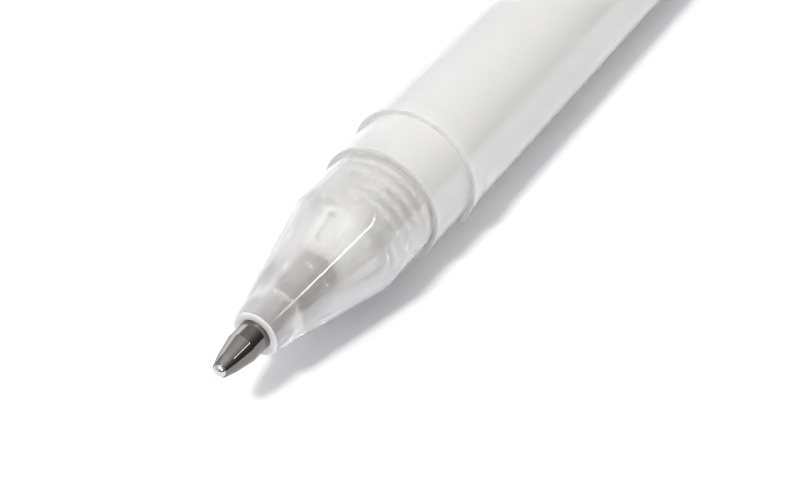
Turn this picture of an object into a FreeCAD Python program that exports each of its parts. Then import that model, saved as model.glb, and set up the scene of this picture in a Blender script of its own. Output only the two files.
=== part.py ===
import FreeCAD, Part
import math
import os
import re

import Sketcher

# A fabric marking pen with a ball point, lying on its side with its cap pushed
# onto the tail.  Lengths are millimetres, angles degrees.
#
# Every piece is drawn along its own X axis by station: the distance from the
# front of the writing ball towards the tail.  Its Placement then lays the pen
# on the table, tip towards -X, with the origin under the middle of its box.

SHEET = "Sizes"

SIZES = [
    # stations and lengths along the pen
    ("nose_at", 4.30, "front face of the nose cone"),
    ("shoulder_at", 14.95, "corner where the cone meets the skirt"),
    ("collar_at", 20.00, "front of the collar that a cap grips"),
    ("rim_at", 24.60, "step that stops the cap"),
    ("rim_fade", 2.10, "length over which the rim runs down to the barrel"),
    ("seam", 0.05, "gap at every seam between pieces that part"),
    ("tail_at", 134.80, "end of the barrel"),
    ("post_length", 16.0, "stepped-down tail that the cap is pushed onto"),
    # outer radii
    ("nose_face_radius", 1.72, "nose cone at its face"),
    ("skirt_radius", 4.40, "nose cone behind its shoulder"),
    ("collar_radius", 4.75, "collar"),
    ("rim_radius", 5.17, "rim"),
    ("barrel_radius", 5.00, "barrel body"),
    ("post_radius", 4.72, "stepped-down tail"),
    # nose cone
    ("nose_bore_radius", 1.20, "bore that steadies the point"),
    ("nose_land", 2.60, "length of that bore"),
    ("nose_wall", 0.95, "wall where the cone's cavity starts to widen"),
    ("throat_radius", 1.80, "cavity behind the bore"),
    ("cavity_opens_at", 9.90, "where the cavity starts to widen"),
    ("nose_thread_at", 14.80, "front of the threaded bore"),
    ("nose_edge", 0.24, "rounding of the nose face"),
    ("shoulder_round", 4.00, "rounding of the shoulder"),
    ("rib_count", 4, "centring ribs inside the cone"),
    ("rib_thickness", 0.45, "thickness of a rib"),
    ("rib_at", 12.00, "front of the ribs"),
    ("rib_length", 2.00, "length of the ribs"),
    ("rib_gap", 0.12, "ribs to the point holder"),
    ("rib_root", 0.30, "rib sunk into the cone's wall"),
    # screw thread between nose cone and barrel
    ("thread_pitch", 1.10, "advance in one turn"),
    ("thread_turns", 3.20, "turns of the barrel's ridge"),
    ("thread_at", 15.95, "middle of the ridge where it starts"),
    ("thread_root", 3.30, "radius of the spigot under the ridge"),
    ("thread_height", 0.30, "ridge above the spigot"),
    ("thread_foot", 0.60, "width of the ridge at the spigot"),
    ("thread_crest", 0.24, "width of the ridge at its top"),
    ("thread_sink", 0.10, "ridge sunk into the spigot"),
    ("thread_gap", 0.10, "clearance between the two threads"),
    ("thread_run_out", 3.00, "turns by which the nose's groove outruns the ridge"),
    # barrel
    ("spigot_at", 15.25, "front of the threaded spigot"),
    ("neck_bore_radius", 2.85, "bore through spigot and collar"),
    ("barrel_bore_radius", 3.90, "bore of the barrel body"),
    ("bore_step_at", 23.90, "where the bore starts to widen"),
    ("bore_step_length", 1.60, "length of that taper"),
    ("small_edge", 0.12, "small broken edges"),
    ("post_lead", 0.50, "chamfer at the tail"),
    # tail plug
    ("plug_flange_length", 1.20, "flange that closes the barrel"),
    ("plug_flange_radius", 4.40, "radius of that flange"),
    ("plug_depth", 6.00, "plug inside the barrel"),
    ("plug_floor", 2.60, "floor inside the barrel"),
    ("plug_cup_radius", 2.80, "cup that steadies the ink tube"),
    ("vent_radius", 0.60, "air vent"),
    ("plug_round", 0.35, "rounding of the flange"),
    # writing point
    ("ball_radius", 0.50, "writing ball"),
    ("ball_play", 0.015, "running clearance round the ball"),
    ("lip_at", 0.34, "crimped lip"),
    ("lip_radius", 0.56, "outside of the lip"),
    ("waist_at", 1.17, "edge between the two cones"),
    ("waist_radius", 0.83, "radius at that edge"),
    ("shank_at", 2.75, "where the shank starts"),
    ("shank_radius", 1.15, "shank"),
    ("stop_at", 8.60, "front of the point's stop collar"),
    ("stop_radius", 1.62, "stop collar"),
    ("stop_length", 3.10, "length of the stop collar"),
    ("stem_radius", 0.98, "stem pressed into the holder"),
    ("stem_length", 3.60, "length of the stem"),
    ("ink_hole_radius", 0.24, "ink hole behind the ball"),
    ("ink_hole_length", 1.70, "length of the ink hole"),
    ("point_bore_radius", 0.66, "bore that holds the spring"),
    ("point_mouth_radius", 0.42, "turned-in end of that bore"),
    ("point_mouth_length", 0.40, "length of the turned-in end"),
    # spring behind the ball
    ("wire_radius", 0.07, "wire"),
    ("needle_half", 0.05, "half the width of the flattened front end"),
    ("coil_radius", 0.50, "mean radius of the coils"),
    ("coil_turns", 14.0, "turns"),
    ("coil_at", 4.60, "front of the coils"),
    # point holder and refill
    ("holder_nose_radius", 2.00, "front of the point holder"),
    ("holder_full_at", 14.60, "where the holder reaches the tube's size"),
    ("tube_radius", 2.70, "ink tube and holder"),
    ("tube_bore_radius", 2.20, "inside of the ink tube"),
    ("tube_at", 17.50, "front of the ink tube"),
    ("tube_length", 114.30, "ink tube"),
    ("holder_tail", 5.00, "holder inside the ink tube"),
    ("ink_way_radius", 0.90, "ink way through the holder"),
    ("ink_length", 80.0, "ink behind the holder"),
    ("follower_length", 8.0, "clear grease that follows the ink"),
    # cap, measured from its mouth
    ("cap_length", 48.0, "mouth to the seat of the crown"),
    ("cap_mouth_radius", 5.50, "outside at the mouth"),
    ("cap_end_radius", 5.30, "outside at the crown"),
    ("cap_bore_radius", 4.80, "bore"),
    ("seat_from_mouth", 18.50, "step down to the narrower bore"),
    ("seat_radius", 4.60, "narrower bore, which holds sleeve and crown"),
    ("cap_edge", 0.25, "rounding of the mouth"),
    # inner sleeve and its pad
    ("sleeve_flange", 1.60, "flange pressed into the cap"),
    ("sleeve_length", 9.00, "whole sleeve"),
    ("sleeve_mouth_radius", 2.60, "mouth"),
    ("sleeve_throat_radius", 1.93, "throat that seals on the nose cone"),
    ("sleeve_radius", 3.20, "outside behind the flange"),
    ("sleeve_lead", 1.00, "mouth to the throat"),
    ("sleeve_floor", 1.00, "floor behind the pad"),
    ("pad_radius", 2.20, "soft pad that closes the ball"),
    ("pad_length", 2.00, "thickness of the pad"),
    # crown
    ("crown_radius", 5.15, "crown outside the cap"),
    ("crown_height", 3.20, "height of that part"),
    ("crown_round", 0.90, "rounding of its end"),
    ("crown_plug", 3.60, "crown inside the cap"),
    # clip
    ("bead_radius", 0.75, "bead that the clip swings on"),
    ("bead_gap", 0.05, "running clearance round the bead"),
    ("bead_from_seat", 1.70, "crown's seat to the bead"),
    ("bead_height", 6.65, "pen axis to the bead"),
    ("ear_wall", 0.62, "wall of the ear round the bead"),
    ("ear_foot", 4.00, "pen axis to the foot of the ear, inside the crown"),
    ("ear_cheek", 0.62, "side wall of the ear"),
    ("ear_slot", 1.10, "slot that the clip's neck swings in"),
    ("ear_corner", 0.55, "cut corners of the ear"),
    ("clip_width", 4.20, "clip at the bead"),
    ("clip_side_gap", 0.08, "bead to each side wall"),
    ("clip_nose_width", 3.00, "clip at its free end"),
    ("clip_length", 34.0, "bead to the free end"),
    ("neck_length", 1.75, "thin neck next to the bead"),
    ("neck_thickness", 0.70, "thickness of the neck"),
    ("arm_thickness", 1.30, "thickness of the arm"),
    ("nub_length", 3.60, "raised nub near the free end"),
    ("nub_ramp", 1.30, "slope at each end of the nub"),
    ("nub_gap", 0.12, "nub to the cap"),
    ("clip_edge", 0.25, "rounding of the arm's outer edges"),
    # how the pen lies
    ("clip_turn", 110.9, "turn of the cap about the pen's axis"),
    ("origin_station", 85.025, "station above the origin"),
    ("axis_height", 5.50, "pen axis above the table"),
    ("axis_side", 1.519, "pen axis to the middle of the box"),
]

NAME = re.compile(r"[a-z][a-z_]*[a-z]")
TINY = 1e-4

# Where sketched points stand, roughly, before the constraints move them.
DRAFT_MIDDLE = FreeCAD.Vector(60, 40, 0)
DRAFT_RADIUS = 20.0

# Stations that more than one piece uses.
CONE_RISE = "((skirt_radius - nose_face_radius) / (shoulder_at - nose_at))"
CAP_MOUTH = "(tail_at - post_length + seam)"
CAP_SEAT = "(tail_at - post_length + seam + cap_length)"
SLEEVE_AT = "(tail_at - post_length + seam + seat_from_mouth)"
BEAD_AT = "(tail_at - post_length + seam + cap_length + bead_from_seat)"
STOP_END = "(stop_at + stop_length)"
STEM_END = "(stop_at + stop_length + stem_length)"
HOLDER_END = "(tube_at + holder_tail)"


def bound(formula):
    """The formula with every name pointed at its cell in the sheet."""
    return NAME.sub(lambda name: SHEET + "." + name.group(0), formula)


def make_sheet(doc):
    sheet = doc.addObject("Spreadsheet::Sheet", SHEET)
    for row, (alias, value, note) in enumerate(SIZES, start=1):
        sheet.set("A%d" % row, note)
        sheet.set("B%d" % row, str(value))
        sheet.setAlias("B%d" % row, alias)
    doc.recompute()


def value(doc, formula):
    """The number that a formula of the sheet's names comes to."""
    return float(doc.getObject(SHEET).evalExpression(bound(formula)))


# ---------------------------------------------------------------- sketching


def datum(body, role):
    """A plane or axis of the body's own origin, such as XY_Plane or X_Axis."""
    return next(item for item in body.Origin.OriginFeatures if item.Role == role)


def new_body(doc, label):
    body = doc.addObject("PartDesign::Body", label)
    body.Label = label
    return body


def new_sketch(body, name, role="XY_Plane"):
    sketch = body.newObject("Sketcher::SketchObject", name)
    sketch.AttachmentSupport = [(datum(body, role), "")]
    sketch.MapMode = "FlatFace"
    return sketch


def pin_down(sketch, kind, geometry, point, formula, start):
    """Hold one coordinate of a sketched point at a formula of the sheet."""
    if formula == "0":
        axis = -1 if kind == "DistanceY" else -2
        sketch.addConstraint(Sketcher.Constraint("PointOnObject", geometry, point, axis))
        return
    index = sketch.addConstraint(
        Sketcher.Constraint(kind, -1, 1, geometry, point, start)
    )
    sketch.setExpression("Constraints[%d]" % index, bound(formula))


def outline(sketch, corners):
    """Closed straight-sided outline through (station, height) formulas."""
    first = sketch.GeometryCount
    count = len(corners)
    ring = [
        DRAFT_MIDDLE + FreeCAD.Vector(math.cos(turn), math.sin(turn), 0) * DRAFT_RADIUS
        for turn in (2 * math.pi * i / count for i in range(count))
    ]
    for i in range(count):
        sketch.addGeometry(Part.LineSegment(ring[i], ring[(i + 1) % count]), False)
    for i in range(count):
        after = first + (i + 1) % count
        sketch.addConstraint(Sketcher.Constraint("Coincident", first + i, 2, after, 1))
    for i, (station, height) in enumerate(corners):
        pin_down(sketch, "DistanceX", first + i, 1, station, ring[i].x)
        pin_down(sketch, "DistanceY", first + i, 1, height, ring[i].y)


def circle(sketch, station, height, radius):
    up = FreeCAD.Vector(0, 0, 1)
    round_line = Part.Circle(DRAFT_MIDDLE, up, DRAFT_RADIUS)
    index = sketch.addGeometry(round_line, False)
    pin_down(sketch, "DistanceX", index, 3, station, DRAFT_MIDDLE.x)
    pin_down(sketch, "DistanceY", index, 3, height, DRAFT_MIDDLE.y)
    rule = sketch.addConstraint(Sketcher.Constraint("Radius", index, DRAFT_RADIUS))
    sketch.setExpression("Constraints[%d]" % rule, bound(radius))


# ----------------------------------------------------------------- features


def turned(doc, label, corners):
    """A body revolved about the pen's axis from a (station, radius) outline."""
    body = new_body(doc, label)
    sketch = new_sketch(body, label + "_outline")
    outline(sketch, corners)
    solid = body.newObject("PartDesign::Revolution", label + "_turned")
    solid.Profile = sketch
    solid.ReferenceAxis = (sketch, ["H_Axis"])
    solid.Angle = 360.0
    doc.recompute()
    return body


def across(doc, body, kind, sketch, name, width):
    """A Pad or Pocket of a side-view sketch, half its width to each side."""
    feature = body.newObject("PartDesign::" + kind, name)
    feature.Profile = sketch
    feature.SideType = "Symmetric"
    feature.setExpression("Length", bound(width))
    doc.recompute()
    return feature


def wound(doc, body, kind, sketch, name, pitch, turns):
    """A ridge, groove or coil: the sketched section wound about the pen's axis."""
    winding = body.newObject("PartDesign::" + kind, name)
    winding.Profile = sketch
    winding.ReferenceAxis = (sketch, ["H_Axis"])
    winding.Mode = "pitch-turns-angle"
    winding.setExpression("Pitch", bound(pitch))
    winding.setExpression("Turns", bound(turns))
    doc.recompute()
    return winding


def ring_edges(doc, body, station, radius):
    """Names of the full round edges at that station with that radius."""
    station = value(doc, station)
    radius = value(doc, radius)
    found = []
    for number, edge in enumerate(body.Shape.Edges, start=1):
        if not isinstance(edge.Curve, Part.Circle):
            continue
        off = abs(edge.Curve.Center.x - station) + abs(edge.Curve.Radius - radius)
        if off < TINY:
            found.append("Edge%d" % number)
    return found


def ease(doc, body, kind, name, edges, amount):
    """A Fillet or Chamfer of the sheet's size on some of the body's edges."""
    base = body.Tip
    feature = body.newObject("PartDesign::" + kind, name)
    feature.Base = (base, edges)
    feature.setExpression("Radius" if kind == "Fillet" else "Size", bound(amount))
    doc.recompute()
    return feature


# ---------------------------------------------------------- nose and barrel


def thread_section(body, name, turns_ahead, grow, foot_radius):
    """Section of the thread, grown all round, started some turns ahead."""
    middle = "(thread_at - %s * thread_pitch)" % turns_ahead
    foot = "(thread_foot / 2 + %s)" % grow
    crest = "(thread_crest / 2 + %s)" % grow
    top = "thread_root + thread_height + %s" % grow
    sketch = new_sketch(body, name)
    outline(
        sketch,
        [
            (middle + " - " + foot, foot_radius),
            (middle + " - " + crest, top),
            (middle + " + " + crest, top),
            (middle + " + " + foot, foot_radius),
        ],
    )
    return sketch


def cavity_radius(station):
    """Inner radius of the nose cone's widening cavity at a station."""
    start = "(nose_face_radius + (cavity_opens_at - nose_at) * %s - nose_wall)" % CONE_RISE
    rise = "(thread_root + thread_gap - %s) / (nose_thread_at - cavity_opens_at)" % start
    return "%s + (%s - cavity_opens_at) * %s" % (start, station, rise)


def holder_radius(station):
    """Outer radius of the point holder's tapered front at a station."""
    rise = "(tube_radius - holder_nose_radius) / (holder_full_at - %s)" % STOP_END
    return "holder_nose_radius + (%s - %s) * %s" % (station, STOP_END, rise)


def nose_ribs(doc, body):
    """Ribs that reach from the cavity's wall almost to the point holder."""
    back = "(rib_at + rib_length)"
    sketch = new_sketch(body, "rib_side", "XZ_Plane")
    outline(
        sketch,
        [
            ("rib_at", holder_radius("rib_at") + " + rib_gap"),
            ("rib_at", cavity_radius("rib_at") + " + rib_root"),
            (back, cavity_radius(back) + " + rib_root"),
            (back, holder_radius(back) + " + rib_gap"),
        ],
    )
    rib = across(doc, body, "Pad", sketch, "rib", "rib_thickness")
    ring = body.newObject("PartDesign::PolarPattern", "ribs")
    ring.Originals = [rib]
    ring.Axis = (datum(body, "X_Axis"), [""])
    ring.Angle = 360.0
    ring.setExpression("Occurrences", bound("rib_count"))
    body.Tip = ring
    doc.recompute()


def nose_cone(doc):
    bore = "thread_root + thread_gap"
    body = turned(
        doc,
        "nose_cone",
        [
            ("nose_at", "nose_bore_radius"),
            ("nose_at", "nose_face_radius"),
            ("shoulder_at", "skirt_radius"),
            ("collar_at - seam", "skirt_radius"),
            ("collar_at - seam", bore),
            ("nose_thread_at", bore),
            ("cavity_opens_at", cavity_radius("cavity_opens_at")),
            ("cavity_opens_at", "throat_radius"),
            ("nose_at + nose_land", "throat_radius"),
            ("nose_at + nose_land", "nose_bore_radius"),
        ],
    )
    nose_ribs(doc, body)
    groove = thread_section(
        body, "nose_thread_section", "1", "thread_gap", bore + " - thread_sink"
    )
    wound(
        doc, body, "SubtractiveHelix", groove, "nose_thread",
        "thread_pitch", "thread_turns + thread_run_out",
    )
    face = ring_edges(doc, body, "nose_at", "nose_face_radius")
    ease(doc, body, "Fillet", "nose_face_edge", face, "nose_edge")
    shoulder = ring_edges(doc, body, "shoulder_at", "skirt_radius")
    ease(doc, body, "Fillet", "nose_shoulder", shoulder, "shoulder_round")
    return body


def barrel(doc):
    post_at = "tail_at - post_length"
    body = turned(
        doc,
        "barrel",
        [
            ("spigot_at", "neck_bore_radius"),
            ("spigot_at", "thread_root"),
            ("collar_at", "thread_root"),
            ("collar_at", "collar_radius"),
            ("rim_at", "collar_radius"),
            ("rim_at", "rim_radius"),
            ("rim_at + rim_fade", "barrel_radius"),
            (post_at, "barrel_radius"),
            (post_at, "post_radius"),
            ("tail_at", "post_radius"),
            ("tail_at", "barrel_bore_radius"),
            ("bore_step_at + bore_step_length", "barrel_bore_radius"),
            ("bore_step_at", "neck_bore_radius"),
        ],
    )
    ridge = thread_section(body, "barrel_thread_section", "0", "0", "thread_root - thread_sink")
    wound(
        doc, body, "AdditiveHelix", ridge, "barrel_thread", "thread_pitch", "thread_turns"
    )
    broken = ring_edges(doc, body, "collar_at", "collar_radius")
    broken += ring_edges(doc, body, "rim_at", "rim_radius")
    broken += ring_edges(doc, body, "spigot_at", "thread_root")
    ease(doc, body, "Fillet", "barrel_edges", broken, "small_edge")
    tail = ring_edges(doc, body, "tail_at", "post_radius")
    ease(doc, body, "Chamfer", "post_lead_in", tail, "post_lead")
    return body


def tail_plug(doc):
    end = "tail_at + plug_flange_length"
    front = "tail_at - plug_depth"
    floor = "tail_at - plug_floor"
    body = turned(
        doc,
        "tail_plug",
        [
            (front, "plug_cup_radius"),
            (front, "barrel_bore_radius"),
            ("tail_at", "barrel_bore_radius"),
            ("tail_at", "plug_flange_radius"),
            (end, "plug_flange_radius"),
            (end, "vent_radius"),
            (floor, "vent_radius"),
            (floor, "plug_cup_radius"),
        ],
    )
    rim = ring_edges(doc, body, end, "plug_flange_radius")
    ease(doc, body, "Fillet", "plug_edge", rim, "plug_round")
    return body


# ---------------------------------------------------------------- the refill


def writing_ball(doc):
    body = new_body(doc, "writing_ball")
    ball = body.newObject("PartDesign::AdditiveSphere", "ball")
    ball.setExpression("Radius", bound("ball_radius"))
    ball.setExpression("Placement.Base.x", bound("ball_radius"))
    doc.recompute()
    return body


def point_body(doc):
    hole_end = "2 * ball_radius + ink_hole_length"
    mouth = STEM_END + " - point_mouth_length"
    body = turned(
        doc,
        "point_body",
        [
            ("lip_at", "ink_hole_radius"),
            ("lip_at", "lip_radius"),
            ("waist_at", "waist_radius"),
            ("shank_at", "shank_radius"),
            ("stop_at", "shank_radius"),
            ("stop_at", "stop_radius"),
            (STOP_END, "stop_radius"),
            (STOP_END, "stem_radius"),
            (STEM_END, "stem_radius"),
            (STEM_END, "point_mouth_radius"),
            (mouth, "point_mouth_radius"),
            (mouth, "point_bore_radius"),
            (hole_end, "point_bore_radius"),
            (hole_end, "ink_hole_radius"),
        ],
    )
    socket = body.newObject("PartDesign::SubtractiveSphere", "ball_socket")
    socket.setExpression("Radius", bound("ball_radius + ball_play"))
    socket.setExpression("Placement.Base.x", bound("ball_radius"))
    doc.recompute()
    return body


def point_spring(doc):
    """Fine coils whose front end turns in and runs forward to press on the ball."""
    body = new_body(doc, "point_spring")
    section = new_sketch(body, "wire_section")
    circle(section, "coil_at", "coil_radius", "wire_radius")
    length = "(%s - point_mouth_length - wire_radius - coil_at)" % STEM_END
    wound(
        doc, body, "AdditiveHelix", section, "coils", length + " / coil_turns", "coil_turns"
    )
    needle_at = "2 * ball_radius + ball_play"
    front = new_sketch(body, "front_end_side")
    outline(
        front,
        [
            (needle_at, "0 - needle_half"),
            (needle_at, "needle_half"),
            ("coil_at - needle_half", "needle_half"),
            ("coil_at - needle_half", "coil_radius"),
            ("coil_at + needle_half", "coil_radius"),
            ("coil_at + needle_half", "0 - needle_half"),
        ],
    )
    across(doc, body, "Pad", front, "front_end", "2 * needle_half")
    return body


def point_holder(doc):
    return turned(
        doc,
        "point_holder",
        [
            (STOP_END, "stem_radius"),
            (STOP_END, "holder_nose_radius"),
            ("holder_full_at", "tube_radius"),
            ("tube_at", "tube_radius"),
            ("tube_at", "tube_bore_radius"),
            (HOLDER_END, "tube_bore_radius"),
            (HOLDER_END, "ink_way_radius"),
            (STEM_END, "ink_way_radius"),
            (STEM_END, "stem_radius"),
        ],
    )


def ink_tube(doc):
    end = "tube_at + tube_length"
    return turned(
        doc,
        "ink_tube",
        [
            ("tube_at", "tube_bore_radius"),
            ("tube_at", "tube_radius"),
            (end, "tube_radius"),
            (end, "tube_bore_radius"),
        ],
    )


def ink_charge(doc):
    end = HOLDER_END + " + ink_length"
    return turned(
        doc,
        "ink_charge",
        [
            (STEM_END, "0"),
            (STEM_END, "ink_way_radius"),
            (HOLDER_END, "ink_way_radius"),
            (HOLDER_END, "tube_bore_radius"),
            (end, "tube_bore_radius"),
            (end, "0"),
        ],
    )


def ink_follower(doc):
    start = HOLDER_END + " + ink_length"
    end = start + " + follower_length"
    return turned(
        doc,
        "ink_follower",
        [
            (start, "0"),
            (start, "tube_bore_radius"),
            (end, "tube_bore_radius"),
            (end, "0"),
        ],
    )


# ------------------------------------------------------------------- the cap


def cap_shell(doc):
    body = turned(
        doc,
        "cap_shell",
        [
            (CAP_MOUTH, "cap_bore_radius"),
            (CAP_MOUTH, "cap_mouth_radius"),
            (CAP_SEAT, "cap_end_radius"),
            (CAP_SEAT, "seat_radius"),
            (SLEEVE_AT, "seat_radius"),
            (SLEEVE_AT, "cap_bore_radius"),
        ],
    )
    mouth = ring_edges(doc, body, CAP_MOUTH, "cap_mouth_radius")
    ease(doc, body, "Fillet", "mouth_edge", mouth, "cap_edge")
    return body


def cap_sleeve(doc):
    end = SLEEVE_AT + " + sleeve_length"
    pad_back = end + " - sleeve_floor"
    pad_front = pad_back + " - pad_length"
    return turned(
        doc,
        "cap_sleeve",
        [
            (SLEEVE_AT, "sleeve_mouth_radius"),
            (SLEEVE_AT, "seat_radius"),
            (SLEEVE_AT + " + sleeve_flange", "seat_radius"),
            (SLEEVE_AT + " + sleeve_flange", "sleeve_radius"),
            (end, "sleeve_radius"),
            (end, "0"),
            (pad_back, "0"),
            (pad_back, "pad_radius"),
            (pad_front, "pad_radius"),
            (pad_front, "sleeve_throat_radius"),
            (SLEEVE_AT + " + sleeve_lead", "sleeve_throat_radius"),
        ],
    )


def cap_pad(doc):
    back = SLEEVE_AT + " + sleeve_length - sleeve_floor"
    front = back + " - pad_length"
    return turned(
        doc,
        "cap_pad",
        [(front, "0"), (front, "pad_radius"), (back, "pad_radius"), (back, "0")],
    )


def cap_crown(doc):
    """Plug that closes the cap, with an ear for the clip's bead."""
    front = CAP_SEAT + " - crown_plug"
    end = CAP_SEAT + " + crown_height"
    body = turned(
        doc,
        "cap_crown",
        [
            (front, "0"),
            (front, "seat_radius"),
            (CAP_SEAT, "seat_radius"),
            (CAP_SEAT, "crown_radius"),
            (end, "crown_radius"),
            (end, "0"),
        ],
    )
    rim = ring_edges(doc, body, end, "crown_radius")
    ease(doc, body, "Fillet", "crown_rim", rim, "crown_round")

    reach = "(bead_radius + bead_gap + ear_wall)"
    low = BEAD_AT + " - " + reach
    high = BEAD_AT + " + " + reach
    top = "bead_height + " + reach
    side = new_sketch(body, "ear_side", "XZ_Plane")
    outline(
        side,
        [
            (low, "ear_foot"),
            (low, top + " - ear_corner"),
            (low + " + ear_corner", top),
            (high + " - ear_corner", top),
            (high, top + " - ear_corner"),
            (high, "ear_foot"),
        ],
    )
    room = "clip_width + 2 * clip_side_gap"
    across(doc, body, "Pad", side, "ear", room + " + 2 * ear_cheek")

    socket = new_sketch(body, "bead_side", "XZ_Plane")
    circle(socket, BEAD_AT, "bead_height", "bead_radius + bead_gap")
    across(doc, body, "Pocket", socket, "bead_socket", room)

    slot = new_sketch(body, "slot_side", "XZ_Plane")
    outline(
        slot,
        [
            (low + " - seam", "bead_height - ear_slot / 2"),
            (low + " - seam", "bead_height + ear_slot / 2"),
            (BEAD_AT, "bead_height + ear_slot / 2"),
            (BEAD_AT, "bead_height - ear_slot / 2"),
        ],
    )
    across(doc, body, "Pocket", slot, "neck_slot", room)
    return body


def clip_profile(sketch):
    """Side of the neck, the arm and the nub that faces the cap."""
    root = BEAD_AT + " - neck_length"
    nose = BEAD_AT + " - clip_length"
    arm_top = "bead_height + arm_thickness / 2"
    arm_low = "bead_height - arm_thickness / 2"
    nub_end = nose + " + 2 * nub_ramp + nub_length"
    outline(
        sketch,
        [
            (BEAD_AT, "bead_height + neck_thickness / 2"),
            (root, "bead_height + neck_thickness / 2"),
            (root, arm_top),
            (nose, arm_top),
            (nose, "bead_height"),
            (nose + " + nub_ramp", "cap_mouth_radius + nub_gap"),
            (nose + " + nub_ramp + nub_length", "cap_mouth_radius + nub_gap"),
            (nub_end, arm_low),
            (root, arm_low),
            (root, "bead_height - neck_thickness / 2"),
            (BEAD_AT, "bead_height - neck_thickness / 2"),
        ],
    )


def cap_clip(doc):
    body = new_body(doc, "cap_clip")
    side = new_sketch(body, "clip_side", "XZ_Plane")
    clip_profile(side)
    across(doc, body, "Pad", side, "arm", "clip_width")
    bead = new_sketch(body, "clip_bead_side", "XZ_Plane")
    circle(bead, BEAD_AT, "bead_height", "bead_radius")
    across(doc, body, "Pad", bead, "bead", "clip_width")

    root = BEAD_AT + " - neck_length"
    nose = BEAD_AT + " - clip_length"
    flanks = new_sketch(body, "clip_flanks")
    for side_sign in ("", "0 - "):
        half = side_sign + "clip_width / 2"
        outline(
            flanks,
            [
                (root, half),
                (nose, side_sign + "clip_nose_width / 2"),
                (nose, half),
            ],
        )
    across(doc, body, "Pocket", flanks, "clip_taper", "4 * bead_height")

    top = value(doc, "bead_height + arm_thickness / 2")
    nub_back = value(doc, "clip_length - 2 * nub_ramp - nub_length")
    long_edges = [
        "Edge%d" % number
        for number, edge in enumerate(body.Shape.Edges, start=1)
        if edge.Length > nub_back and edge.BoundBox.ZMin > top - TINY
    ]
    ease(doc, body, "Fillet", "clip_long_edges", long_edges, "clip_edge")
    return body


# --------------------------------------------------------------- the whole pen

PEN_PIECES = (
    nose_cone, barrel, tail_plug,
    writing_ball, point_body, point_spring, point_holder,
    ink_tube, ink_charge, ink_follower,
)
CAP_PIECES = (cap_shell, cap_sleeve, cap_pad, cap_crown, cap_clip)


def lay_down(body, turned_with_cap):
    """Put a piece drawn by station where it lies in the pen's own frame."""
    if turned_with_cap:
        body.Placement = FreeCAD.Placement(
            FreeCAD.Vector(), FreeCAD.Rotation(FreeCAD.Vector(1, 0, 0), 90)
        )
        body.setExpression("Placement.Rotation.Angle", bound("clip_turn"))
    body.setExpression("Placement.Base.x", bound("0 - origin_station"))
    body.setExpression("Placement.Base.y", bound("axis_side"))
    body.setExpression("Placement.Base.z", bound("axis_height"))


def check(doc, bodies):
    for item in doc.Objects:
        if "Invalid" in item.State or "Error" in item.State:
            raise RuntimeError("%s did not recompute" % item.Name)
    for body in bodies:
        if body.Shape.isNull() or not body.Shape.isValid():
            raise RuntimeError("%s has no sound shape" % body.Label)
        if len(body.Shape.Solids) != 1:
            raise RuntimeError("%s is not one solid" % body.Label)


def main():
    doc = FreeCAD.newDocument("marking_pen")
    make_sheet(doc)
    bodies = []
    for make in PEN_PIECES + CAP_PIECES:
        body = make(doc)
        lay_down(body, make in CAP_PIECES)
        bodies.append(body)
    doc.recompute()
    check(doc, bodies)

    os.makedirs("parts", exist_ok=True)
    for body in bodies:
        body.Shape.exportStep("parts/%s.step" % body.Label)

    box = FreeCAD.BoundBox()
    for body in bodies:
        box.add(body.Shape.optimalBoundingBox(False))
        print("%-14s %9.2f mm3" % (body.Label, body.Shape.Volume))
    print("box", box)


main()
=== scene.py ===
import math

import bpy
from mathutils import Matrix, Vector


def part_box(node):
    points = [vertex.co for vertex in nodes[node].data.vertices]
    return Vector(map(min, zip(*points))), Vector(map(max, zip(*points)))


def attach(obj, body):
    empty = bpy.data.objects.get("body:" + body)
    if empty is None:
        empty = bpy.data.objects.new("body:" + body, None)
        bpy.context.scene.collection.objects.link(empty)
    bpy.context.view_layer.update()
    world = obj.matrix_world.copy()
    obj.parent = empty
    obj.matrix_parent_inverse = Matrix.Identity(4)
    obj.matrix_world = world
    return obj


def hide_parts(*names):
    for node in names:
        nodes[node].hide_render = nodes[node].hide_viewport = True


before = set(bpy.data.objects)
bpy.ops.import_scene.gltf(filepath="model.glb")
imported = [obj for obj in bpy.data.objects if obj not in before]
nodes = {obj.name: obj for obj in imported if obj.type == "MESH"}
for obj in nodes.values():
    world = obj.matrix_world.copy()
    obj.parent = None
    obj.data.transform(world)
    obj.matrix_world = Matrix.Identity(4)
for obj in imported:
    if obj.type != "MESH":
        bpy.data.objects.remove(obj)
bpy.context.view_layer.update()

MM = 0.001
scene = bpy.context.scene

# Stations and radii in millimetres. A station is the distance along the pen's
# axis from the front of the writing ball.
ball_low, ball_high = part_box("writing_ball")
TIP_X = ball_low.x
AXIS_Y = (ball_low.y + ball_high.y) / 2
AXIS_Z = (ball_low.z + ball_high.z) / 2

NOSE_AT, SHOULDER_AT, NOSE_END = 4.30, 14.95, 19.95
NOSE_FACE_RADIUS, SKIRT_RADIUS = 1.72, 4.40
NOSE_BORE, LAND_END, THROAT = 1.17, 6.90, 1.80
CAVITY_AT, CAVITY_RADIUS, NOSE_THREAD_AT, NOSE_THREAD_RADIUS = 9.90, 2.18, 14.80, 3.40
RIB_AT, RIB_END, RIB_COUNT, RIB_THICKNESS = 12.0, 14.0, 4, 0.45
SPIGOT_AT, SPIGOT_RADIUS, NECK_BORE = 15.25, 3.30, 2.85
COLLAR_AT, COLLAR_RADIUS, RIM_AT, RIM_RADIUS, RIM_FADE = 20.00, 4.75, 24.60, 5.17, 2.10
BARREL_RADIUS, BARREL_BORE, BORE_STEP_AT, BORE_STEP = 5.00, 3.90, 23.90, 1.60
POST_AT, POST_RADIUS, POST_LEAD, TAIL_AT = 118.80, 4.72, 0.50, 134.80
THREAD_PITCH, THREAD_AT, THREAD_TURNS = 1.10, 15.95, 3.20
THREAD_HEIGHT, THREAD_FOOT, THREAD_CREST = 0.30, 0.60, 0.24
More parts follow.
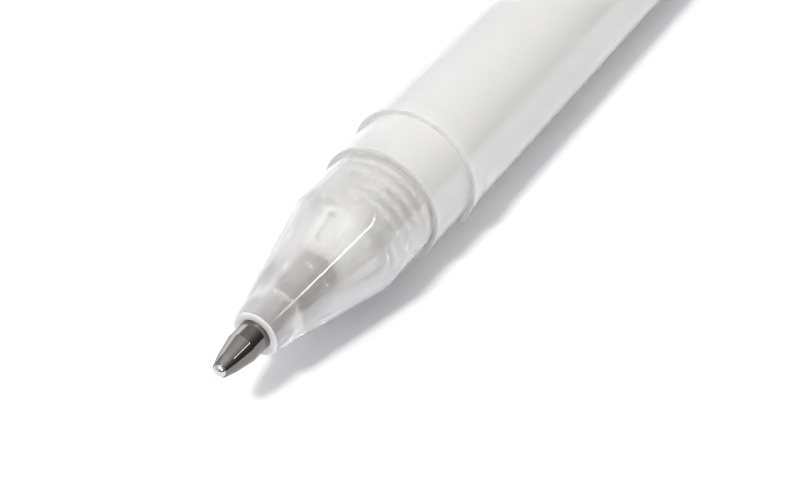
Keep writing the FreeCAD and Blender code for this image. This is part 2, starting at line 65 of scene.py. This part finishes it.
THREAD_STEP, GROOVE_FROM = 0.05, 0.7
LIP_AT, LIP_RADIUS, WAIST_AT, WAIST_RADIUS = 0.34, 0.56, 1.17, 0.83
# The first name on the next line is the station where the point's painted shade starts.
PAINTED_SHADE_AT, INK_WAY, STEM_MOUTH, SPIGOT_LEAD, FACE_DEPTH = 4.50, 0.24, 0.42, 0.12, 0.1
SHANK_AT, SHANK_RADIUS, STOP_AT, STOP_RADIUS, STOP_END = 2.75, 1.15, 8.60, 1.62, 11.70
STEM_END, STEM_RADIUS, BALL_RADIUS, SOCKET_RADIUS = 15.30, 0.98, 0.50, 0.515
HOLDER_NOSE_RADIUS, HOLDER_FULL_AT, TUBE_RADIUS = 2.00, 14.60, 2.70
RIB_GAP, RIB_REACH, THREAD_GAP, EDGE, TINY = 0.12, 3.39, 0.10, 0.06, 0.01

# Faces meeting at more than this many degrees keep a crisp edge, and a face
# whose normal is this much along the axis counts as an end face.
CRISP_DEGREES, END_FACE = 32, 0.9

# Each finer piece's material slots, in the order that dress() fills them.
OUTSIDE, INSIDE = 0, 1
# On the nose, the face slot holds a painted lighter ring and the white slot painted glints.
NOSE_FACE, NOSE_PAINTED_GLINT, NOSE_CLEAR = 2, 3, 4
# On the barrel, the collar slot holds painted shade, the crest slot a painted highlight and the
# root slot painted shade.
COLLAR, CREST, ROOT = 2, 3, 4

# Materials: scales are per metre and reliefs in millimetres.
PLASTIC_IOR = 1.49
FLOW_SCALE, FLOW_RELIEF, GRAIN_SCALE = 260.0, 0.006, 1400.0
RING_SCALE, RING_RELIEF, METAL_GRAIN_SCALE = 500.0, 0.0006, 3000.0

# The room: the direction of its bright side, where that brightness starts and
# is full, and the white that the camera sees behind the floor.
FAR_SIDE, SWEEP_FROM, SWEEP_TO, BACKDROP = (-0.35, 0.94, 0.0), -0.1, 0.6, 1.05
FLOOR_HALF = 0.35

# The camera: lens and sensor in millimetres, angles in degrees, and its place
# in millimetres from the middle of the nose's face.
LENS, SENSOR_WIDTH = 83.4, 36.0
CAMERA_AZIMUTH, CAMERA_ELEVATION = -58.94, 40.55
CAMERA_FROM_FACE = (-71.06, -53.90, 83.17)


# ------------------------------------------------------------------- geometry

def rounded(corners, steps=6):
    """Profile through (station, radius, rounding) corners, with arcs at the corners."""
    points = []
    count = len(corners)
    for i, (station, radius, rounding) in enumerate(corners):
        here = Vector((station, radius))
        if rounding == 0:
            points.append((station, radius))
            continue
        before = (Vector(corners[i - 1][:2]) - here).normalized()
        after = (Vector(corners[(i + 1) % count][:2]) - here).normalized()
        half = before.angle(after) / 2
        reach = rounding / math.tan(half)
        centre = here + (before + after).normalized() * (rounding / math.sin(half))
        start = here + before * reach - centre
        turn = start.angle_signed(here + after * reach - centre)
        for k in range(steps + 1):
            angle = -turn * k / steps
            cosine, sine = math.cos(angle), math.sin(angle)
            spoke = Vector((start.x * cosine - start.y * sine, start.x * sine + start.y * cosine))
            points.append(tuple(centre + spoke))
    return points


def turned(name, outer, inner=(), segments=144, relief=None):
    """Mesh of a profile turned about the pen's axis.

    The outer points run towards the tail and the inner ones back to the tip; with
    no inner points the outer ones start and end on the axis. Faces of the inner
    side take the INSIDE slot. relief(station, radius, angle) gives the radius
    where a thread or a rib stands.
    """
    profile = list(outer) + list(inner)
    verts, faces, rows = [], [], []
    for station, radius in profile:
        if radius < 1e-6:
            rows.append([len(verts)] * segments)
            verts.append((TIP_X + station * MM, AXIS_Y, AXIS_Z))
            continue
        rows.append(list(range(len(verts), len(verts) + segments)))
        for k in range(segments):
            angle = 2 * math.pi * k / segments
            r = (relief(station, radius, angle) if relief else radius) * MM
            across, up = r * math.cos(angle), r * math.sin(angle)
            verts.append((TIP_X + station * MM, AXIS_Y + across, AXIS_Z + up))
    last = len(rows) if inner else len(rows) - 1
    for i in range(last):
        a, b = rows[i], rows[(i + 1) % len(rows)]
        for k in range(segments):
            n = (k + 1) % segments
            corner = [a[k], a[n], b[n], b[k]]
            faces.append(tuple(dict.fromkeys(corner)))
    mesh = bpy.data.meshes.new(name)
    mesh.from_pydata(verts, [], faces)
    for face in mesh.polygons:
        face.material_index = INSIDE if face.index >= (len(outer) - 1) * segments else OUTSIDE
    mesh.shade_smooth()
    mesh.set_sharp_from_angle(angle=math.radians(CRISP_DEGREES))
    piece = bpy.data.objects.new(name, mesh)
    scene.collection.objects.link(piece)
    even = piece.modifiers.new("even shading", "WEIGHTED_NORMAL")
    even.keep_sharp = True
    return piece


def place(face):
    """Station and radius of a face's middle, in millimetres."""
    offset = Vector((face.center.y - AXIS_Y, face.center.z - AXIS_Z))
    return (face.center.x - TIP_X) / MM, offset.length / MM


def stretch(start, end, radius, step):
    """Evenly spaced profile points from start to end at one radius."""
    count = max(2, round(abs(end - start) / step) + 1)
    return [(start + (end - start) * i / (count - 1), radius) for i in range(count)]


def ridge(station, angle, gap):
    """Height of the screw ridge at a station and angle, grown by a gap."""
    lead = THREAD_AT + THREAD_PITCH * angle / (2 * math.pi)
    turn = round((station - lead) / THREAD_PITCH)
    if gap == 0 and not 0 <= turn + angle / (2 * math.pi) <= THREAD_TURNS:
        return 0
    off = abs(station - lead - turn * THREAD_PITCH)
    foot, crest = THREAD_FOOT / 2 + gap, THREAD_CREST / 2 + gap
    return (THREAD_HEIGHT + gap) * min(1, max(0, (foot - off) / (foot - crest)))


def holder_radius(station):
    """Outside of the point's holder, which widens towards the tube."""
    slope = (TUBE_RADIUS - HOLDER_NOSE_RADIUS) / (HOLDER_FULL_AT - STOP_END)
    return HOLDER_NOSE_RADIUS + slope * (station - STOP_END)


def nose_relief(station, radius, angle):
    """The nose's inner thread, and the ribs that centre the holder."""
    if radius == NOSE_THREAD_RADIUS:
        return max(radius, SPIGOT_RADIUS + ridge(station, angle, THREAD_GAP))
    if radius < CAVITY_RADIUS or not RIB_AT <= station <= RIB_END or radius > RIB_REACH:
        return radius
    spacing = 2 * math.pi / RIB_COUNT
    off = abs((angle + spacing / 2) % spacing - spacing / 2) * radius
    return holder_radius(station) + RIB_GAP if off < RIB_THICKNESS / 2 else radius


def cavity(station):
    """Profile point on the nose's inner cone."""
    slope = (NOSE_THREAD_RADIUS - CAVITY_RADIUS) / (NOSE_THREAD_AT - CAVITY_AT)
    return station, CAVITY_RADIUS + slope * (station - CAVITY_AT)


def make_nose():
    outer = rounded([
        (NOSE_AT, NOSE_BORE, 0.03), (NOSE_AT, NOSE_FACE_RADIUS, 0.24),
        (SHOULDER_AT, SKIRT_RADIUS, 4.0), (NOSE_END, SKIRT_RADIUS, 0.10),
        (NOSE_END, NOSE_THREAD_RADIUS, 0), (NOSE_AT + 1, NOSE_BORE, 0),
    ], steps=10)[:-2]
    thread = stretch(NOSE_END, NOSE_THREAD_AT, NOSE_THREAD_RADIUS, THREAD_STEP)
    ribs = [cavity(s) for s in (RIB_END + TINY, RIB_END, 13.5, 13.0, 12.5, RIB_AT, RIB_AT - TINY)]
    step = rounded([
        (CAVITY_AT, CAVITY_RADIUS, 0), (CAVITY_AT, THROAT, 0.1), (LAND_END, THROAT, EDGE),
        (LAND_END, NOSE_BORE, 0.08), (NOSE_AT + 0.2, NOSE_BORE, 0),
    ])
    piece = turned("nose_cone_skin", outer, thread + ribs + step, relief=nose_relief)
    for face in piece.data.polygons:
        station, radius = place(face)
        # The nose's front face takes a less see-through copy of the frosted plastic, so it shows
        # as a whiter ring: painted light.
        if station < NOSE_AT + FACE_DEPTH:
            face.material_index = NOSE_FACE
        # The corner of the bore step and the deep thread grooves take an opaque white copy of the
        # frosted plastic: painted glints seen through the wall.
        elif abs(station - LAND_END) < EDGE and abs(radius - THROAT) < EDGE:
            face.material_index = NOSE_PAINTED_GLINT
        elif station > NOSE_THREAD_AT and radius < SKIRT_RADIUS - 0.2:
            deep = radius > NOSE_THREAD_RADIUS + THREAD_HEIGHT * GROOVE_FROM
            face.material_index = NOSE_PAINTED_GLINT if deep and station > THREAD_AT else NOSE_CLEAR
    return piece


def barrel_relief(station, radius, angle):
    """The spigot's thread."""
    return radius + (ridge(station, angle, 0) if radius == SPIGOT_RADIUS else 0)


def make_barrel():
    spigot = stretch(SPIGOT_AT + SPIGOT_LEAD, COLLAR_AT, SPIGOT_RADIUS, THREAD_STEP)
    front = [(SPIGOT_AT, NECK_BORE), (SPIGOT_AT, SPIGOT_RADIUS - SPIGOT_LEAD)]
    outer = front + spigot + rounded([
        (COLLAR_AT, SPIGOT_RADIUS, 0), (COLLAR_AT, COLLAR_RADIUS, 0.05),
        (RIM_AT, COLLAR_RADIUS, 0.03), (RIM_AT, RIM_RADIUS, 0.08),
        (RIM_AT + RIM_FADE, BARREL_RADIUS, 1.5), (POST_AT, BARREL_RADIUS, 0.1),
        (POST_AT, POST_RADIUS, 0), (TAIL_AT - POST_LEAD, POST_RADIUS, 0),
        (TAIL_AT, POST_RADIUS - POST_LEAD, 0), (TAIL_AT, BARREL_BORE, 0),
    ])[1:]
    inner = [(BORE_STEP_AT + BORE_STEP, BARREL_BORE), (BORE_STEP_AT, NECK_BORE)]
    piece = turned("barrel_skin", outer, inner, relief=barrel_relief)
    for face in piece.data.polygons:
        station, radius = place(face)
        # End faces take the darker, more see-through inside copy of the plastic, so the steps
        # show as grey lines: painted shade.
        if abs(face.normal.x) > END_FACE:
            face.material_index = INSIDE
        # The spigot's thread crests are opaque white and its roots darker: painted highlight on
        # the crests and painted shade in the roots.
        elif station < COLLAR_AT and radius > SPIGOT_RADIUS - EDGE:
            face.material_index = CREST if radius > SPIGOT_RADIUS + THREAD_HEIGHT / 2 else ROOT
        # The collar takes a more see-through copy of the barrel plastic, which shows it a little
        # darker: painted shade.
        elif station < RIM_AT and radius > SPIGOT_RADIUS - EDGE:
            face.material_index = COLLAR
    return piece


def make_point():
    outer = rounded([
        (LIP_AT, SOCKET_RADIUS - 0.03, 0), (LIP_AT, LIP_RADIUS, 0.03),
        (WAIST_AT, WAIST_RADIUS, 0.02), (SHANK_AT, SHANK_RADIUS, 0.03),
        (PAINTED_SHADE_AT, SHANK_RADIUS, 0), (STOP_AT, SHANK_RADIUS, 0), (STOP_AT, STOP_RADIUS, 0.25),
        (STOP_END, STOP_RADIUS, 0.55), (STOP_END, STEM_RADIUS, 0),
        (STEM_END, STEM_RADIUS, 0), (STEM_END, STEM_MOUTH, 0),
    ])
    inner = [(BALL_RADIUS * 2, INK_WAY)]
    for degrees in range(150, 70, -10):
        a = math.radians(degrees)
        inner.append((BALL_RADIUS - SOCKET_RADIUS * math.cos(a), SOCKET_RADIUS * math.sin(a)))
    piece = turned("point_body_skin", outer, inner)
    for face in piece.data.polygons:
        # Behind this station the point takes a dark brown, rougher copy of its metal: painted
        # shade for the part inside the nose.
        if face.center.x > TIP_X + PAINTED_SHADE_AT * MM:
            face.material_index = INSIDE
    return piece


def make_ball():
    arc = [math.pi * k / 48 for k in range(49)]
    profile = [(BALL_RADIUS * (1 - math.cos(a)), BALL_RADIUS * math.sin(a)) for a in arc]
    return turned("writing_ball_skin", profile, segments=96)


# ------------------------------------------------------------------ materials

def new_material(name):
    material = bpy.data.materials.new(name)
    material.use_nodes = True
    return material, material.node_tree.nodes["Principled BSDF"]


def noise(material, scale, detail=4.0, stretched=(1, 1, 1)):
    """Noise in the object's own metres, finer along some axes; returns its value socket."""
    tree = material.node_tree
    coords = tree.nodes.new("ShaderNodeTexCoord")
    shape = tree.nodes.new("ShaderNodeMapping")
    texture = tree.nodes.new("ShaderNodeTexNoise")
    shape.inputs["Scale"].default_value = stretched
    texture.inputs["Scale"].default_value = scale
    texture.inputs["Detail"].default_value = detail
    tree.links.new(coords.outputs["Object"], shape.inputs["Vector"])
    tree.links.new(shape.outputs["Vector"], texture.inputs["Vector"])
    return texture.outputs["Fac"]


def spread(material, factor, low, high):
    """Remaps a 0..1 value socket to a range; returns the result socket."""
    remap = material.node_tree.nodes.new("ShaderNodeMapRange")
    remap.inputs["To Min"].default_value = low
    remap.inputs["To Max"].default_value = high
    material.node_tree.links.new(factor, remap.inputs["Value"])
    return remap.outputs["Result"]


def tint(material, shader, factor, low, high):
    """Base colour that varies between two shades."""
    mix = material.node_tree.nodes.new("ShaderNodeMix")
    mix.data_type = "RGBA"
    mix.inputs["A"].default_value = (*low, 1)
    mix.inputs["B"].default_value = (*high, 1)
    material.node_tree.links.new(factor, mix.inputs["Factor"])
    material.node_tree.links.new(mix.outputs["Result"], shader.inputs["Base Color"])


def bump(material, shader, height, depth):
    """Relief of the surface, this deep in metres."""
    node = material.node_tree.nodes.new("ShaderNodeBump")
    node.inputs["Distance"].default_value = depth
    material.node_tree.links.new(height, node.inputs["Height"])
    material.node_tree.links.new(node.outputs["Normal"], shader.inputs["Normal"])


def plastic(name, colour, clear, roughness, depth_mm, shine=0.0, haze=0.03):
    """Moulded plastic: some of the light goes through, the rest scatters inside."""
    material, shader = new_material(name)
    shade = tuple(c * 0.985 for c in colour)
    flow = noise(material, FLOW_SCALE, 3.0, (0.35, 1, 1))
    tint(material, shader, flow, shade, colour)
    shader.inputs["IOR"].default_value = PLASTIC_IOR
    shader.inputs["Transmission Weight"].default_value = clear
    shader.inputs["Subsurface Weight"].default_value = 1.0
    shader.inputs["Subsurface Radius"].default_value = (1, 1, 1)
    shader.inputs["Subsurface Scale"].default_value = depth_mm * MM
    shader.inputs["Coat Weight"].default_value = shine
    shader.inputs["Coat Roughness"].default_value = haze
    shader.inputs["Coat IOR"].default_value = PLASTIC_IOR
    grain = noise(material, GRAIN_SCALE)
    value = spread(material, grain, roughness * 0.8, roughness * 1.2)
    material.node_tree.links.new(value, shader.inputs["Roughness"])
    bump(material, shader, flow, FLOW_RELIEF * MM)
    return material


def metal(name, colour, roughness):
    """Turned metal: faint rings from the tool run round the pen's axis."""
    material, shader = new_material(name)
    rings = noise(material, RING_SCALE, 3.0, (14, 0.4, 0.4))
    tint(material, shader, rings, tuple(c * 0.9 for c in colour), colour)
    shader.inputs["Metallic"].default_value = 1.0
    grain = noise(material, METAL_GRAIN_SCALE)
    value = spread(material, grain, roughness * 0.7, roughness * 1.3)
    material.node_tree.links.new(value, shader.inputs["Roughness"])
    bump(material, shader, rings, RING_RELIEF * MM)
    return material


FROST, MILK = (0.99, 0.986, 0.963), (0.98, 0.976, 0.938)
frosted = plastic("frosted_clear", FROST, 0.78, 0.06, 1.0, 1.0)
frosted_inside = plastic("frosted_clear_inside", FROST, 0.9, 0.3, 1.0)
# Less see-through copy of the frosted plastic: painted light on the nose's front face.
frosted_painted_light_face = plastic("frosted_clear_painted_light_face", FROST, 0.5, 0.3, 0.3)
# Opaque white copy of the frosted plastic: painted glints inside the nose.
frosted_painted_glint = plastic("frosted_clear_painted_glint", FROST, 0.0, 0.2, 1.0)
frosted_thread = plastic("frosted_clear_thread", FROST, 0.85, 0.03, 1.0)
milky = plastic("milky_barrel", MILK, 0.47, 0.18, 1.5, 0.6, 0.08)
# More see-through copy of the barrel plastic: painted shade on the collar.
milky_painted_shade_collar = plastic("milky_painted_shade_collar", MILK, 0.52, 0.18, 1.5, 0.6, 0.08)
# White crests and darker roots of the spigot's thread: painted highlight and painted shade.
milky_painted_lit_crest = plastic("milky_painted_lit_crest", FROST, 0.0, 0.3, 0.3, 1.0, 0.08)
milky_painted_shaded_root = plastic("milky_painted_shaded_root", FROST, 0.2, 0.3, 0.6, 1.0, 0.08)
# Inside of the barrel; also on the barrel's end faces, as painted shade on the steps.
milky_inside_and_shaded_ends = plastic("milky_barrel_inside_and_shaded_ends", MILK, 0.6, 0.4, 1.5)
natural = plastic("natural_plastic", (0.985, 0.985, 0.97), 0.1, 0.4, 1.0)
white = plastic("white_plastic", (0.80, 0.80, 0.79), 0.0, 0.3, 1.0, 1.0)
cap_plastic = plastic("cap_plastic", MILK, 0.35, 0.12, 1.0, 1.0, 0.08)
pad_rubber = plastic("pad_rubber", (0.74, 0.74, 0.72), 0.0, 0.7, 0.5)
ink = plastic("ink", (0.95, 0.95, 0.94), 0.0, 0.3, 0.5)
grease = plastic("grease", (0.9, 0.9, 0.8), 0.7, 0.1, 1.0)
steel = metal("point_metal", (0.20, 0.19, 0.178), 0.05)
# Dark brown copy of the point metal: painted shade on the part hidden inside the nose.
painted_shade_steel = metal("point_metal_painted_shade", (0.17, 0.09, 0.02), 0.4)
chrome = metal("ball_metal", (0.62, 0.63, 0.65), 0.08)

LOOKS = {
    "nose_cone": frosted, "barrel": milky, "tail_plug": white, "writing_ball": chrome,
    "point_body": steel, "point_spring": steel, "point_holder": natural,
    "ink_tube": natural, "ink_charge": ink, "ink_follower": grease,
    "cap_shell": cap_plastic, "cap_sleeve": natural, "cap_pad": pad_rubber,
    "cap_crown": white, "cap_clip": cap_plastic,
}
for name, material in LOOKS.items():
    node = nodes[name]
    node.data.materials.clear()
    node.data.materials.append(material)


def dress(piece, node, body, slot, *materials):
    """The piece stands for a CAD node: it takes its place, body and materials."""
    for material in materials:
        piece.data.materials.append(material)
    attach(piece, body)
    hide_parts(node)


dress(make_nose(), "nose_cone", "nose", "frosted_clear", frosted, frosted_inside, frosted_painted_light_face,
      frosted_painted_glint, frosted_thread)
dress(make_barrel(), "barrel", "barrel", "milky_barrel", milky, milky_inside_and_shaded_ends, milky_painted_shade_collar,
      milky_painted_lit_crest, milky_painted_shaded_root)
dress(make_point(), "point_body", "refill", "point_metal", steel, painted_shade_steel)
dress(make_ball(), "writing_ball", "ball", "ball", chrome)


# ---------------------------------------------------------------------- stage

def emitter(name, size, power, position, target):
    """White rectangular light, sized in metres, turned towards a point."""
    light = bpy.data.lights.new(name, "AREA")
    light.shape = "RECTANGLE"
    light.size, light.size_y = size
    light.energy = power
    lamp = bpy.data.objects.new(name, light)
    lamp.location = position
    lamp.rotation_euler = (target - position).to_track_quat("-Z", "Y").to_euler()
    scene.collection.objects.link(lamp)
    return lamp


def make_floor():
    mesh = bpy.data.meshes.new("floor")
    half = FLOOR_HALF
    mesh.from_pydata(
        [(-half, -half, 0), (half, -half, 0), (half, half, 0), (-half, half, 0)],
        [], [(0, 1, 2, 3)],
    )
    floor = bpy.data.objects.new("floor", mesh)
    scene.collection.objects.link(floor)
    material, shader = new_material("floor")
    shader.inputs["Base Color"].default_value = (0.86, 0.855, 0.87, 1)
    shader.inputs["Roughness"].default_value = 0.9
    mesh.materials.append(material)


def make_world(horizon, sweep, zenith, sharpness):
    """A room bright overhead and on the far left side; the camera itself sees plain white."""
    world = bpy.data.worlds.new("studio")
    world.use_nodes = True
    tree = world.node_tree
    coords = tree.nodes.new("ShaderNodeTexCoord")
    split = tree.nodes.new("ShaderNodeSeparateXYZ")
    rise = tree.nodes.new("ShaderNodeMath")
    side = tree.nodes.new("ShaderNodeVectorMath")
    around = tree.nodes.new("ShaderNodeMapRange")
    level = tree.nodes.new("ShaderNodeMath")
    seen = tree.nodes.new("ShaderNodeLightPath")
    pick = tree.nodes.new("ShaderNodeMix")
    rise.operation = "POWER"
    rise.use_clamp = True
    rise.inputs[1].default_value = sharpness
    side.operation = "DOT_PRODUCT"
    side.inputs[1].default_value = FAR_SIDE
    around.interpolation_type = "SMOOTHSTEP"
    around.inputs["From Min"].default_value = SWEEP_FROM
    around.inputs["From Max"].default_value = SWEEP_TO
    around.inputs["To Min"].default_value = horizon
    around.inputs["To Max"].default_value = sweep
    level.operation = "MULTIPLY_ADD"
    level.inputs[1].default_value = zenith
    pick.inputs["B"].default_value = BACKDROP
    background = tree.nodes["Background"]
    background.inputs["Color"].default_value = (0.97, 0.97, 1, 1)
    tree.links.new(coords.outputs["Generated"], split.inputs["Vector"])
    tree.links.new(split.outputs["Z"], rise.inputs[0])
    tree.links.new(coords.outputs["Generated"], side.inputs[0])
    tree.links.new(side.outputs["Value"], around.inputs["Value"])
    tree.links.new(rise.outputs["Value"], level.inputs[0])
    tree.links.new(around.outputs["Result"], level.inputs[2])
    tree.links.new(seen.outputs["Is Camera Ray"], pick.inputs["Factor"])
    tree.links.new(level.outputs["Value"], pick.inputs["A"])
    tree.links.new(pick.outputs["Result"], background.inputs["Strength"])
    scene.world = world


nose_face = Vector((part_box("nose_cone")[0].x, AXIS_Y, AXIS_Z))


def make_camera():
    data = bpy.data.cameras.new("camera")
    data.lens = LENS
    data.sensor_width = SENSOR_WIDTH
    data.clip_start = 0.005
    camera = bpy.data.objects.new("camera", data)
    azimuth, elevation = math.radians(CAMERA_AZIMUTH), math.radians(CAMERA_ELEVATION)
    ahead = Vector((
        -math.sin(azimuth) * math.cos(elevation),
        math.cos(azimuth) * math.cos(elevation),
        -math.sin(elevation),
    ))
    camera.location = nose_face + Vector(CAMERA_FROM_FACE) * MM
    camera.rotation_mode = "QUATERNION"
    camera.rotation_quaternion = ahead.to_track_quat("-Z", "Y")
    scene.collection.objects.link(camera)
    scene.camera = camera


make_floor()
make_world(horizon=0.12, sweep=0.75, zenith=1.45, sharpness=4.0)
target = nose_face + Vector((15, 0, 0)) * MM
emitter("key", (0.11, 0.11), 5.3, target + Vector((-0.54, 0.0, 0.72)), target)
emitter("fill", (0.5, 0.5), 1.7, target + Vector((-0.62, -0.62, 0.60)), target)
emitter("strip", (0.40, 0.020), 0.50, target + Vector((0.28, -0.70, 0.70)), target)

# The card lights only the metal point, as the light band on its left side.
card = emitter("card", (0.45, 0.50), 1.35, target + Vector((0.355, 0.762, 0.25)), target)
card.visible_camera = False
lit_by_card = bpy.data.collections.new("lit_by_card")
lit_by_card.objects.link(bpy.data.objects["point_body_skin"])
card.light_linking.receiver_collection = lit_by_card

make_camera()
scene.view_settings.view_transform = "Standard"
scene.cycles.sample_clamp_indirect = 0
scene.cycles.max_bounces = 32
scene.cycles.diffuse_bounces = 24
scene.cycles.glossy_bounces = 16
scene.cycles.transmission_bounces = 24
